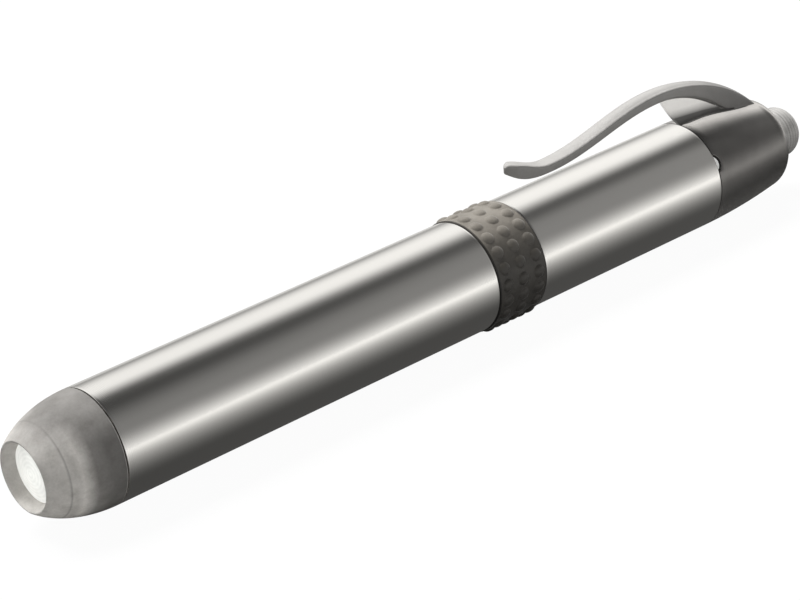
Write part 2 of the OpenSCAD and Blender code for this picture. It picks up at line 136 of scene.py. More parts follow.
# The studio as polished metal sees it, by the angle round the pen: 0 behind, 90 above, 180 in front. A soft overhead
# box is (brightness, starts, full, fades, gone), a dim card in front of it (brightness, starts, full), and the light at
# the front grows from an angle to the horizon (brightness, starts). The box reaches further forward towards the tail
studio = {"nose": {"dark": 0.06, "box": (0.96, -16, 38, 49, 79), "card": (0.16, 92, 140), "front": (0.77, 142)},
          "tail": {"dark": 0.12, "box": (1.02, -16, 39, 55, 89), "card": (0.15, 91, 119), "front": (0.72, 142)},
          "noseward": 0.485, "tailward": 0.65, "plain": 0.24, "through": 0.9, "tint": (1.0, 0.985, 0.96),
          "window": {"towards": (-0.25, 0.70, 0.67), "from": 0.86, "to": 0.99, "strength": 0.15}}
world = bpy.data.worlds.new("studio")
scene.world = world
world.use_nodes = True
tree = world.node_tree
tree.nodes.clear()
direction = addNode(tree, "ShaderNodeTexCoord")
parts = addNode(tree, "ShaderNodeSeparateXYZ")
join(tree, (direction.outputs["Generated"], parts.inputs[0]))
angle = sums(tree, "MULTIPLY", sums(tree, "ARCTAN2", parts.outputs["Z"], parts.outputs["Y"]), 180 / math.pi)


def softEdge(source, first, last, low, high):
    return mapRange(tree, source, first, last, low, high, interpolation_type="SMOOTHSTEP")


def studioLight(lights):
    bright, starts, full, fades, gone = lights["box"]
    box = sums(tree, "MULTIPLY", softEdge(angle, starts, full, 0.0, bright), softEdge(angle, fades, gone, 1.0, 0.0))
    bright, starts, full = lights["card"]
    card = softEdge(angle, starts, full, lights["dark"], lights["dark"] + bright)
    bright, starts = lights["front"]
    front = sums(tree, "MULTIPLY", sums(tree, "POWER", mapRange(tree, angle, starts, 180), 2.0), bright)
    return sums(tree, "ADD", sums(tree, "ADD", box, card), front)


tailward = mapRange(tree, parts.outputs["X"], studio["noseward"], studio["tailward"])
bands = mixed(tree, tailward, studioLight(studio["nose"]), studioLight(studio["tail"]))
bands = mixed(tree, 1.0, bands, studio["tint"], "MULTIPLY")
window = studio["window"]
facing = addNode(tree, "ShaderNodeVectorMath", operation="DOT_PRODUCT")
facing.inputs[1].default_value = Vector(window["towards"]).normalized()
join(tree, (direction.outputs["Generated"], facing.inputs[0]))
glow = mapRange(tree, facing.outputs["Value"], window["from"], window["to"], 0.0, window["strength"],
                interpolation_type="SMOOTHSTEP")
bands = mixed(tree, 1.0, bands, glow, "ADD")
path = addNode(tree, "ShaderNodeLightPath")
plain = (studio["plain"],) * 3
mirrored = mixed(tree, path.outputs["Is Glossy Ray"], plain, bands)
seen = mixed(tree, path.outputs["Is Transmission Ray"], mirrored, (studio["through"],) * 3)
shown = mixed(tree, path.outputs["Is Camera Ray"], seen, (1.0, 1.0, 1.0))
backdrop = addNode(tree, "ShaderNodeBackground", Strength=1.0)
out = addNode(tree, "ShaderNodeOutputWorld")
join(tree, (shown, backdrop.inputs["Color"]), (backdrop.outputs[0], out.inputs["Surface"]))


def softLamp(name, place, aim, size, power):
    data = bpy.data.lights.new(name, "AREA")
    data.shape = "RECTANGLE"
    data.size, data.size_y = size
    data.energy = power
    lamp = bpy.data.objects.new(name, data)
    lamp.location = place
    lamp.rotation_euler = (Vector(aim) - Vector(place)).to_track_quat("-Z", "Y").to_euler()
    lamp.visible_glossy = False
    lamp.visible_transmission = False
    scene.collection.objects.link(lamp)


lamps = {"overhead": ((0.0, 0.24, 0.46), (0.5, 0.3), 6.5), "front": ((-0.1, -0.55, 0.16), (0.6, 0.12), 0.8)}
for name, (place, size, power) in lamps.items():
    softLamp(name, place, (0, 0, 0.007), size, power)


# The floor is plain and pale. Metal sees a painted shadow of the pen on it: dark beside the pen, bright further out
floor = {"side": 6.0, "colour": (0.86, 0.86, 0.85), "bounce": (0.34, 0.34, 0.335), "tint": (1.0, 0.985, 0.955),
         "kept": 0.96, "halfPen": 0.062, "along": (-0.06, 0.06), "shares": (0.94, 1.2), "behind": (0.02, 0.15),
         "behindShare": 0.45, "near": 8.5, "far": 115.0, "dark": 0.07, "bright": 0.96}


def floorMaterial():
    material = bpy.data.materials.new("paleFloor")
    material.use_nodes = True
    tree = material.node_tree
    tree.nodes.clear()
    place = addNode(tree, "ShaderNodeTexCoord")
    parts = addNode(tree, "ShaderNodeSeparateXYZ")
    join(tree, (place.outputs["Object"], parts.inputs[0]))
    beyond = sums(tree, "SUBTRACT", sums(tree, "ABSOLUTE", parts.outputs["X"]), floor["halfPen"])
    beyond = sums(tree, "MAXIMUM", beyond, 0.0)
    sideways = sums(tree, "POWER", parts.outputs["Y"], 2.0)
    away = sums(tree, "SQRT", sums(tree, "ADD", sideways, sums(tree, "POWER", beyond, 2.0)))
    reach = sums(tree, "LOGARITHM", sums(tree, "MULTIPLY", away, 1000.0), math.e)
    bands = mapRange(tree, reach, math.log(floor["near"]), math.log(floor["far"]), floor["dark"], floor["bright"],
                     interpolation_type="SMOOTHSTEP")
    bands = mixed(tree, 1.0, bands, floor["tint"], "MULTIPLY")
    path = addNode(tree, "ShaderNodeLightPath")
    board = addNode(tree, "ShaderNodeBsdfDiffuse", Color=(*floor["colour"], 1))
    white = addNode(tree, "ShaderNodeEmission", Color=(1, 1, 1, 1), Strength=1.0)
    lightened = addNode(tree, "ShaderNodeMixShader", Fac=floor["kept"])
    join(tree, (board.outputs[0], lightened.inputs[1]), (white.outputs[0], lightened.inputs[2]))
    mirrored = addNode(tree, "ShaderNodeEmission")
    along = mapRange(tree, parts.outputs["X"], *floor["along"], *floor["shares"])
    behind = mapRange(tree, parts.outputs["Y"], *floor["behind"], 1.0, floor["behindShare"])
    join(tree, (sums(tree, "MULTIPLY", along, behind), mirrored.inputs["Strength"]), (bands, mirrored.inputs["Color"]))
    clear = sums(tree, "MAXIMUM", path.outputs["Is Camera Ray"], path.outputs["Is Transmission Ray"])
    first = tree.nodes.new("ShaderNodeMixShader")
    dim = addNode(tree, "ShaderNodeBsdfDiffuse", Color=(*floor["bounce"], 1))
    join(tree, (clear, first.inputs["Fac"]), (dim.outputs[0], first.inputs[1]),
         (lightened.outputs[0], first.inputs[2]))
    last = tree.nodes.new("ShaderNodeMixShader")
    join(tree, (path.outputs["Is Glossy Ray"], last.inputs["Fac"]), (first.outputs[0], last.inputs[1]),
         (mirrored.outputs[0], last.inputs[2]))
    out = addNode(tree, "ShaderNodeOutputMaterial")
    join(tree, (last.outputs[0], out.inputs["Surface"]))
    return material


def meshObject(name, bm, material):
    mesh = bpy.data.meshes.new(name)
    bm.to_mesh(mesh)
    bm.free()
    mesh.materials.append(material)
    piece = bpy.data.objects.new(name, mesh)
    scene.collection.objects.link(piece)
    return piece


bm = bmesh.new()
bmesh.ops.create_grid(bm, x_segments=2, y_segments=2, size=floor["side"] / 2)
meshObject("floor", bm, floorMaterial())


print("finishes")


def newGroup(name, inputs, outputs):
    group = bpy.data.node_groups.new(name, "ShaderNodeTree")
    for label, kind, value in inputs:
        socket = group.interface.new_socket(label, in_out="INPUT", socket_type=kind)
        socket.default_value = value
    for label, kind in outputs:
        group.interface.new_socket(label, in_out="OUTPUT", socket_type=kind)
    start = group.nodes.new("NodeGroupInput")
    end = group.nodes.new("NodeGroupOutput")
    return group, start, end


def turnedLinesGroup():
    # fine lines round the pen's axis, as a lathe tool leaves them
    group, start, end = newGroup("turnedLines", [("Vector", "NodeSocketVector", (0, 0, 0)),
                                                 ("Lines per mm", "NodeSocketFloat", 4.0)],
                                 [("Lines", "NodeSocketFloat"), ("Drift", "NodeSocketFloat")])
    parts = addNode(group, "ShaderNodeSeparateXYZ")
    join(group, (start.outputs["Vector"], parts.inputs[0]))
    mm = sums(group, "MULTIPLY", parts.outputs["X"], 1000.0)
    along = sums(group, "MULTIPLY", mm, start.outputs["Lines per mm"])
    fine = addNode(group, "ShaderNodeTexNoise", noise_dimensions="1D", Scale=1.0, Detail=2.0, Roughness=0.7)
    join(group, (along, fine.inputs["W"]))
    wave = sums(group, "SINE", sums(group, "MULTIPLY", along, math.pi))
    both = sums(group, "MULTIPLY_ADD", wave, 0.25, fine.outputs[0])
    slow = addNode(group, "ShaderNodeTexNoise", noise_dimensions="1D", Scale=0.35, Detail=1.0)
    join(group, (mm, slow.inputs["W"]))
    join(group, (both, end.inputs["Lines"]), (slow.outputs[0], end.inputs["Drift"]))
    return group


def mouldedGrainGroup():
    # fine spark-eroded texture of a moulded part, with soft clouds in its tone
    group, start, end = newGroup("mouldedGrain", [("Vector", "NodeSocketVector", (0, 0, 0)),
                                                  ("Grains per mm", "NodeSocketFloat", 6.0)],
                                 [("Grain", "NodeSocketFloat"), ("Clouds", "NodeSocketFloat")])
    scaled = addNode(group, "ShaderNodeVectorMath", operation="SCALE", Scale=1000.0)
    join(group, (start.outputs["Vector"], scaled.inputs[0]))
    fine = addNode(group, "ShaderNodeTexNoise", Detail=3.0, Roughness=0.65)
    soft = addNode(group, "ShaderNodeTexNoise", Scale=0.5, Detail=3.0, Roughness=0.55)
    join(group, (scaled.outputs[0], fine.inputs["Vector"]), (scaled.outputs[0], soft.inputs["Vector"]),
         (start.outputs["Grains per mm"], fine.inputs["Scale"]))
    join(group, (fine.outputs[0], end.inputs["Grain"]), (soft.outputs[0], end.inputs["Clouds"]))
    return group


turnedLines = turnedLinesGroup()
mouldedGrain = mouldedGrainGroup()


def newMaterial(name, **fixed):
    material = bpy.data.materials.new(name)
    material.use_nodes = True
    tree = material.node_tree
    shader = tree.nodes["Principled BSDF"]
    for key, value in fixed.items():
        shader.inputs[key.replace("_", " ")].default_value = value
    place = addNode(tree, "ShaderNodeTexCoord")
    return material, tree, shader, place.outputs["Object"]


def bumped(tree, shader, height, depth):
    bump = addNode(tree, "ShaderNodeBump", Strength=1.0, Distance=depth)
    join(tree, (height, bump.inputs["Height"]), (bump.outputs[0], shader.inputs["Normal"]))


def seenThrough(material, share):
    # the share of a smoky clear piece that metal under it doesn't mirror, as the light behind it comes through
    tree = material.node_tree
    out, shader = tree.nodes["Material Output"], tree.nodes["Principled BSDF"]
    path = addNode(tree, "ShaderNodeLightPath")
    clear = addNode(tree, "ShaderNodeBsdfTransparent")
    both = tree.nodes.new("ShaderNodeMixShader")
    join(tree, (sums(tree, "MULTIPLY", path.outputs["Is Glossy Ray"], share), both.inputs["Fac"]),
         (shader.outputs[0], both.inputs[1]), (clear.outputs[0], both.inputs[2]),
         (both.outputs[0], out.inputs["Surface"]))


def rampAlong(tree, part, tones, origin):
    # a tone that changes along x or z: tones lists (place in mm, tone), measured from the pen's own origin
    first, last = tones[0][0], tones[-1][0]
    share = mapRange(tree, part, (first + origin) / 1000, (last + origin) / 1000)
    return rampOf(tree, share, [((x - first) / (last - first), (t, t, t)) for x, t in tones])


def turnedMetal(name, dark, light, linesPerMm=9.0, roughness=(0.13, 0.20), depth=4e-7, anisotropic=0.5):
    material, tree, shader, place = newMaterial(name, Metallic=1.0, Anisotropic=anisotropic)
    lines = addNode(tree, "ShaderNodeGroup", node_tree=turnedLines)
    lines.inputs["Lines per mm"].default_value = linesPerMm
    join(tree, (place, lines.inputs["Vector"]))
    tone = rampOf(tree, lines.outputs["Lines"], [(0.25, dark), (0.75, light)])
    join(tree, (tone, shader.inputs["Base Color"]),
         (mapRange(tree, lines.outputs["Lines"], 0, 1, *roughness), shader.inputs["Roughness"]))
    bumped(tree, shader, lines.outputs["Lines"], depth)
    if anisotropic:
        tangent = addNode(tree, "ShaderNodeTangent", direction_type="RADIAL", axis="X")
        shader.inputs["Anisotropic Rotation"].default_value = 0.25
        join(tree, (tangent.outputs[0], shader.inputs["Tangent"]))
    return material


def turnedPlastic(name, dark, light, linesPerMm, roughness, depth, paintedShadingByHeight, **fixed):
    # frosted plastic with fine lines round the axis over a soft cloudy tone that grows lighter upwards, painted light
    # and shade by height
    material, tree, shader, place = newMaterial(name, **fixed)
    lines = addNode(tree, "ShaderNodeGroup", node_tree=turnedLines)
    lines.inputs["Lines per mm"].default_value = linesPerMm
    grain = addNode(tree, "ShaderNodeGroup", node_tree=mouldedGrain)
    join(tree, (place, lines.inputs["Vector"]), (place, grain.inputs["Vector"]))
    blended = sums(tree, "MULTIPLY_ADD", lines.outputs["Lines"], 0.6, grain.outputs["Clouds"])
    parts = addNode(tree, "ShaderNodeSeparateXYZ")
    join(tree, (place, parts.inputs[0]))
    tone = rampOf(tree, blended, [(0.55, dark), (1.05, light)])
    tone = mixed(tree, 1.0, tone, rampAlong(tree, parts.outputs["Z"], paintedShadingByHeight, pen["axisHeight"]), "MULTIPLY")
    join(tree, (tone, shader.inputs["Base Color"]),
         (mapRange(tree, grain.outputs["Grain"], 0, 1, *roughness), shader.inputs["Roughness"]))
    bumped(tree, shader, lines.outputs["Lines"], depth)
    return material


def mouldedPlastic(name, dark, light, grains=6.0, roughness=(0.35, 0.5), depth=4e-6, **fixed):
    material, tree, shader, place = newMaterial(name, **fixed)
    grain = addNode(tree, "ShaderNodeGroup", node_tree=mouldedGrain)
    grain.inputs["Grains per mm"].default_value = grains
    join(tree, (place, grain.inputs["Vector"]))
    blended = sums(tree, "MULTIPLY_ADD", grain.outputs["Grain"], 0.45, grain.outputs["Clouds"])
    tone = rampOf(tree, blended, [(0.45, dark), (0.95, light)])
    join(tree, (tone, shader.inputs["Base Color"]),
         (mapRange(tree, grain.outputs["Grain"], 0, 1, *roughness), shader.inputs["Roughness"]))
    bumped(tree, shader, grain.outputs["Grain"], depth)
    return material


smokeTint = (1.0, 0.975, 0.945)


def satinCap(name, dark, light, roughness, depth, plain, facing, **fixed):
    # dark smoky plastic with a satin skin. Painted light by height, as plain lists (height, tone), and a painted
    # highlight on its upper side that grows at a slant, as facing lists (slant, tone)
    material, tree, shader, place = newMaterial(name, **fixed)
    grain = addNode(tree, "ShaderNodeGroup", node_tree=mouldedGrain)
    grain.inputs["Grains per mm"].default_value = 3.0
    join(tree, (place, grain.inputs["Vector"]))
    slant = addNode(tree, "ShaderNodeLayerWeight", Blend=0.5)
    paintedSlantHighlight = rampOf(tree, slant.outputs["Facing"], [(f, tinted(t, smokeTint)) for f, t in facing])
    parts = addNode(tree, "ShaderNodeSeparateXYZ")
    join(tree, (place, parts.inputs[0]))
    paintedHighlightSide = rampAlong(tree, parts.outputs["Z"], [(2.0, 0.0), (5.0, 1.0)], pen["axisHeight"])
    lower = mixed(tree, 1.0, rampAlong(tree, parts.outputs["Z"], plain, pen["axisHeight"]), smokeTint, "MULTIPLY")
    tone = mixed(tree, paintedHighlightSide, lower, paintedSlantHighlight)
    clouds = rampOf(tree, grain.outputs["Clouds"], [(0.3, dark), (0.7, light)])
    join(tree, (mixed(tree, 1.0, tone, clouds, "MULTIPLY"), shader.inputs["Base Color"]),
         (mapRange(tree, grain.outputs["Grain"], 0, 1, *roughness), shader.inputs["Roughness"]))
    bumped(tree, shader, grain.outputs["Grain"], depth)
    return material


lensRings = {"pitch": 0.48, "share": 0.10, "depth": 2e-6}


def litLens(name):
    # frosted lens crossed by faint rings; the light behind it is painted in as its own glow
    material, tree, shader, place = newMaterial(name, Roughness=0.22, IOR=1.46, Transmission_Weight=0.35,
                                                Emission_Strength=0.29)
    parts = addNode(tree, "ShaderNodeSeparateXYZ")
    join(tree, (place, parts.inputs[0]))
    height = sums(tree, "SUBTRACT", parts.outputs["Z"], pen["axisHeight"] / 1000)
    away = sums(tree, "SQRT", sums(tree, "ADD", sums(tree, "POWER", parts.outputs["Y"], 2.0),
                                   sums(tree, "POWER", height, 2.0)))
    rings = sums(tree, "SINE", sums(tree, "MULTIPLY", away, fullTurn * 1000 / lensRings["pitch"]))
    noise = addNode(tree, "ShaderNodeTexNoise", Scale=700.0, Detail=2.0)
    join(tree, (place, noise.inputs["Vector"]))
    blended = sums(tree, "MULTIPLY_ADD", rings, lensRings["share"], noise.outputs[0])
    glow = rampOf(tree, blended, [(0.15, (0.78, 0.79, 0.77)), (0.85, (1.0, 1.0, 0.985))])
    join(tree, (glow, shader.inputs["Emission Color"]), (glow, shader.inputs["Base Color"]))
    bumped(tree, shader, rings, lensRings["depth"])
    return material


fallStart = 94.0


def tonedPlastic(name, dark, light, grains, roughness, depth, tones, paintedShadingByHeight=None, fall=0.0, crown=None, **fixed):
    # moulded plastic whose tone changes along the pen, and with the height over its axis as painted light and shade
    # where paintedShadingByHeight is given. Behind the tube's end those heights drop by fall for each mm. A crown
    # (from, to, tone) paints the top with a tone of its own, a painted shade
    material, tree, shader, place = newMaterial(name, **fixed)
    grain = addNode(tree, "ShaderNodeGroup", node_tree=mouldedGrain)
    grain.inputs["Grains per mm"].default_value = grains
    parts = addNode(tree, "ShaderNodeSeparateXYZ")
    join(tree, (place, grain.inputs["Vector"]), (place, parts.inputs[0]))
    along = rampAlong(tree, parts.outputs["X"], tones, -pen["middle"])
    if paintedShadingByHeight:
        height = sums(tree, "MULTIPLY_ADD", parts.outputs["X"], fall, parts.outputs["Z"])
        origin = pen["axisHeight"] + fall * (fallStart - pen["middle"])
        along = mixed(tree, 1.0, along, rampAlong(tree, height, paintedShadingByHeight, origin), "MULTIPLY")
    if crown:
        over = rampAlong(tree, parts.outputs["Z"], [(crown[0], 0.0), (crown[1], 1.0)], pen["axisHeight"])
        along = mixed(tree, over, along, (crown[2],) * 3)
    blended = sums(tree, "MULTIPLY_ADD", grain.outputs["Grain"], 0.45, grain.outputs["Clouds"])
    tone = rampOf(tree, blended, [(0.45, dark), (0.95, light)])
    join(tree, (mixed(tree, 1.0, tone, along, "MULTIPLY"), shader.inputs["Base Color"]),
         (mapRange(tree, grain.outputs["Grain"], 0, 1, *roughness), shader.inputs["Roughness"]))
    bumped(tree, shader, grain.outputs["Grain"], depth)
    return material


brushedMetal = turnedMetal("brushedMetal", (0.79, 0.78, 0.76), (0.86, 0.855, 0.835))
plainMetal = turnedMetal("springWire", (0.50, 0.50, 0.49), (0.62, 0.62, 0.61), 9.0, (0.2, 0.32), 1e-6, 0.0)
brass = turnedMetal("brass", (0.66, 0.47, 0.20), (0.80, 0.61, 0.30), 6.0, (0.2, 0.34), 1e-6, 0.0)
# the grip ring is darker at both edges, a painted shade where it meets the tube, and lighter towards its top: painted
# light and shade by height
gripRubber = tonedPlastic("gripRubber", (0.125, 0.114, 0.098), (0.200, 0.184, 0.160), 8.0, (0.44, 0.56), 3e-6,
                          [(55.0, 0.25), (55.22, 0.3), (55.3, 1.0), (62.55, 1.0), (62.63, 0.3), (62.85, 0.25)],
                          [(-7.5, 0.18), (-3.0, 0.20), (2.5, 0.25), (5.2, 0.46), (6.6, 0.98), (7.5, 1.0)], IOR=1.5,
                          Sheen_Weight=0.2, Sheen_Roughness=0.35)
# the thin light line at the hood's rear rim is a painted highlight, and its darker top, from the height ramp and the
# crown, is painted shade
smokyHood = tonedPlastic("smokyHood", (0.66, 0.63, 0.59), (1.0, 0.965, 0.915), 3.5, (0.40, 0.54), 5e-6,
                         [(-9.2, 0.76), (-7.6, 0.84), (-6.85, 0.84), (-6.65, 0.54), (-6.5, 0.84), (-6.1, 0.80),
                          (-5.3, 0.98), (-4.7, 0.74), (-3.7, 0.34), (-2.0, 0.23), (-0.29, 0.21), (-0.25, 0.7),
                          (0.0, 0.7)], [(-7.2, 1.0), (-4.5, 0.95), (-2.5, 0.78), (0.0, 0.68), (7.2, 0.66)],
                         crown=(3.4, 6.0, 0.195), IOR=1.45)
smokyCap = satinCap("smokyCap", (0.90, 0.90, 0.90), (1.0, 1.0, 1.0), (0.20, 0.26), 4e-7,
                    [(-7.2, 0.60), (-4.0, 0.54), (-1.5, 0.29), (0.5, 0.185), (3.0, 0.195), (7.2, 0.195)],
                    [(0.0, 0.195), (0.33, 0.20), (0.44, 0.37), (0.53, 0.60), (0.7, 0.54), (1.0, 0.35)],
                    Metallic=0.9, IOR=1.5)
smokyClip = tonedPlastic("smokyClip", (0.90, 0.872, 0.835), (1.0, 0.972, 0.935), 2.0, (0.28, 0.36), 5e-7,
                         [(63.0, 0.21), (80.0, 0.21), (87.0, 0.22), (92.0, 0.23), (97.0, 0.20), (102.0, 0.14),
                          (109.0, 0.08)], IOR=1.65)
# the clip's upward faces get a lighter copy of its finish: painted light from above
clipPaintedLitTop = tonedPlastic("clipPaintedLitTop", (0.90, 0.875, 0.84), (1.0, 0.975, 0.94), 2.0, (0.28, 0.36), 5e-7,
                         [(63.0, 0.33), (82.0, 0.32), (90.0, 0.33), (95.0, 0.29), (100.0, 0.20), (104.0, 0.11),
                          (109.0, 0.07)], IOR=1.65)
# the web is dark towards its foot, a painted shade in the crease where it meets the cap
smokyWeb = tonedPlastic("smokyWeb", (0.84, 0.82, 0.795), (0.93, 0.91, 0.885), 2.0, (0.40, 0.5), 1e-6,
                        [(90.0, 1.0), (97.0, 1.0), (99.0, 0.85), (101.0, 0.50), (102.5, 0.20), (104.0, 0.09)],
                        [(6.8, 0.01), (8.15, 0.02), (8.8, 0.5), (9.4, 0.95), (10.6, 1.0), (11.6, 0.9)], fall=0.10,
                        Transmission_Weight=0.75, IOR=1.3)
for finish in (smokyClip, clipPaintedLitTop, smokyWeb):
    seenThrough(finish, share=1.0)
# the steel lug is coloured pale and matt: its own bright steel and a painted highlight
lugPaleGlint = mouldedPlastic("lugPaleGlint", (0.80, 0.80, 0.78), (0.92, 0.92, 0.90), 6.0, (0.3, 0.4), 1e-6, IOR=1.6)
# the steel bush is near black, a painted shade in the gap between the tube and the cap
bushPaintedShade = turnedMetal("bushPaintedShade", (0.035, 0.034, 0.033), (0.06, 0.058, 0.056), 8.0, (0.4, 0.5), 1e-6, 0.0)
clearPlastic = litLens("clearPlastic")
# the button is darker low down and lighter above: painted light and shade by height
frostedPlastic = turnedPlastic("frostedPlastic", (0.42, 0.41, 0.395), (0.66, 0.645, 0.62), 4.0, (0.22, 0.34), 6e-6,
                               [(-3.4, 0.24), (-1.8, 0.44), (0.4, 0.60), (2.0, 0.62), (3.4, 0.55)], IOR=1.5)
whitePlastic = mouldedPlastic("whitePlastic", (0.70, 0.69, 0.66), (0.80, 0.79, 0.76))
blackPlastic = mouldedPlastic("blackPlastic", (0.020, 0.020, 0.020), (0.036, 0.035, 0.034))
sealRubber = mouldedPlastic("sealRubber", (0.014, 0.014, 0.014), (0.03, 0.03, 0.029), 8.0, (0.5, 0.7))
boardGreen = mouldedPlastic("boardGreen", (0.03, 0.16, 0.07), (0.05, 0.24, 0.11), 3.0, (0.25, 0.4))
mirrorCoat = mouldedPlastic("mirrorCoat", (0.86, 0.86, 0.86), (0.92, 0.92, 0.92), 2.0, (0.05, 0.12), 5e-7,
                            Metallic=1.0)
cellFilm = turnedMetal("cellFilm", (0.30, 0.22, 0.10), (0.52, 0.40, 0.20), 1.5, (0.25, 0.4), 1e-6, 0.0)
litEmitter = mouldedPlastic("litEmitter", (0.95, 0.94, 0.84), (1.0, 0.99, 0.92), 2.0, (0.1, 0.2), 1e-7,
                            Emission_Color=(1.0, 1.0, 0.96, 1), Emission_Strength=1.6)

finishes = {
    "barrel_tube": brushedMetal, "grip_ring": gripRubber, "neck_collar": blackPlastic, "nose_seal": sealRubber,
    "nose_hood": smokyHood, "front_lens": clearPlastic, "reflector": mirrorCoat, "led_emitter": litEmitter,
    "led_leads": plainMetal, "led_holder": whitePlastic, "driver_board": boardGreen, "driver_chip": blackPlastic,
    "inductor": blackPlastic, "front_contact": brass, "earth_ring": brass, "cell_front": cellFilm,
    "cell_rear": cellFilm, "insulating_sleeve": whitePlastic, "tail_bush": brushedMetal, "cap_seal": sealRubber,
    "tail_cap": smokyCap, "tail_spring": plainMetal, "switch_housing": whitePlastic, "switch_contact": brass,
    "contact_strip": brass, "retaining_ring": plainMetal, "switch_spring": plainMetal, "switch_plunger": brass,
    "ratchet_rotor": whitePlastic, "button_seal": sealRubber, "push_button": frostedPlastic,
}
for name, finish in finishes.items():
    nodes[name].data.materials.clear()
    nodes[name].data.materials.append(finish)


print("turned pieces")


def lathe(name, outline, material, steps=256, sharpAbove=24):
    # spins a closed outline of (x, r) in mm round the pen's axis
    bm = bmesh.new()
    corners = [bm.verts.new(spot(x, 0, r)) for x, r in outline]
    edges = [bm.edges.new((corners[i], corners[(i + 1) % len(corners)])) for i in range(len(corners))
             if outline[i][1] > 0 or outline[(i + 1) % len(corners)][1] > 0]
    bmesh.ops.spin(bm, geom=corners + edges, cent=spot(0, 0, 0), axis=(1, 0, 0), angle=fullTurn, steps=steps,
                   use_merge=True)
    bmesh.ops.remove_doubles(bm, verts=bm.verts, dist=1e-7)
    bmesh.ops.recalc_face_normals(bm, faces=bm.faces)
    smoothed(bm, sharpAbove)
    return meshObject(name, bm, material)


def smoothed(bm, sharpAbove):
    for face in bm.faces:
        face.smooth = True
    for edge in bm.edges:
        edge.smooth = edge.calc_face_angle(math.pi) < math.radians(sharpAbove)


def arc(centre, radius, first, last, steps):
    # points of an arc from angle first to last, 0 towards the tail and 90 outwards
    turned = [math.radians(first + (last - first) * i / steps) for i in range(steps + 1)]
    return [(centre[0] + radius * math.cos(a), centre[1] + radius * math.sin(a)) for a in turned]


tube = {"bore": 6.2, "rim": 0.08, "edge": 0.05, "grooveStart": 55.0, "grooveEnd": 62.85, "grooveRadius": 6.65,
        "flat": 0.25}
# the short flats behind the rounded rims keep the shading of the long faces even
r, c, e, end, flat = pen["tubeRadius"], tube["rim"], tube["edge"], pen["tubeLength"], tube["flat"]
tubeOutline = ([(0, tube["bore"])] + arc((c, r - c), c, 180, 90, 5) +
               [(c + flat, r), (tube["grooveStart"] - e - flat, r)] +
               arc((tube["grooveStart"] - e, r - e), e, 90, 0, 3) +
               [(tube["grooveStart"], tube["grooveRadius"]), (tube["grooveEnd"], tube["grooveRadius"])] +
               arc((tube["grooveEnd"] + e, r - e), e, 180, 90, 3) +
               [(tube["grooveEnd"] + e + flat, r), (end - c - flat, r)] +
               arc((end - c, r - c), c, 90, 0, 5) + [(end, tube["bore"])])
barrel = lathe("barrelTube", tubeOutline, brushedMetal, 360)
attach(barrel, "barrel")
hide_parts("barrel_tube")


hood = {"length": 9.0, "gap": 0.15, "rim": 0.12, "blunt": 2.0, "lipRadius": 0.15, "lipStart": 45, "mouth": 4.05,
        "opening": 3.6, "lensFront": -7.45, "seat": -5.25, "engine": 5.4, "stepBack": -3.65, "thread": 6.05,
        "sealFront": -1.45, "sealBore": 6.35}


def hoodOutline():
    lip, start = hood["lipRadius"], math.radians(hood["lipStart"])
    lipX, lipMiddle = hood["length"] - lip, hood["mouth"] + lip
    last, lastRadius = lipX + lip * math.cos(start), lipMiddle + lip * math.sin(start)
    reach = last / (1 - (lastRadius / pen["tubeRadius"]) ** 2) ** (1 / hood["blunt"])
    first = hood["gap"] + hood["rim"]
    lengths = [first + (last - first) * math.sin(math.pi / 2 * i / 40) for i in range(40)]
    outside = [(-t, pen["tubeRadius"] * math.sqrt(1 - (t / reach) ** hood["blunt"])) for t in lengths]
    rim = arc((-first, outside[0][1] - hood["rim"]), hood["rim"], 0, 90, 4)[:-1]
    lip = arc((-lipX, lipMiddle), lip, 180 - hood["lipStart"], 270, 8)
    outside = rim + outside
    inside = [(hood["lensFront"], hood["opening"]), (hood["seat"], hood["opening"]),
              (hood["seat"], hood["engine"]), (hood["stepBack"], hood["engine"]),
              (hood["stepBack"], hood["thread"]), (hood["sealFront"], hood["thread"]),
              (hood["sealFront"], hood["sealBore"]), (-hood["gap"], hood["sealBore"])]
    return outside + lip + inside


noseHood = lathe("noseHood", hoodOutline(), smokyHood)
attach(noseHood, "hood")
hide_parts("nose_hood")

lens = {"edge": 3.55, "crownStart": -7.45, "crown": 0.6, "flange": 5.35, "seat": -5.25, "back": -4.45}
dome = (lens["edge"] ** 2 + lens["crown"] ** 2) / (2 * lens["crown"])
half = math.asin(lens["edge"] / dome)
lensCrown = [(lens["crownStart"] - lens["crown"] + dome * (1 - math.cos(half * i / 16)),
              dome * math.sin(half * i / 16)) for i in range(17)]
frontLens = lathe("frontLens", lensCrown + [(lens["seat"], lens["edge"]), (lens["seat"], lens["flange"]),
                                            (lens["back"], lens["flange"]), (lens["back"], 0)], clearPlastic)
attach(frontLens, "hood")
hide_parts("front_lens")

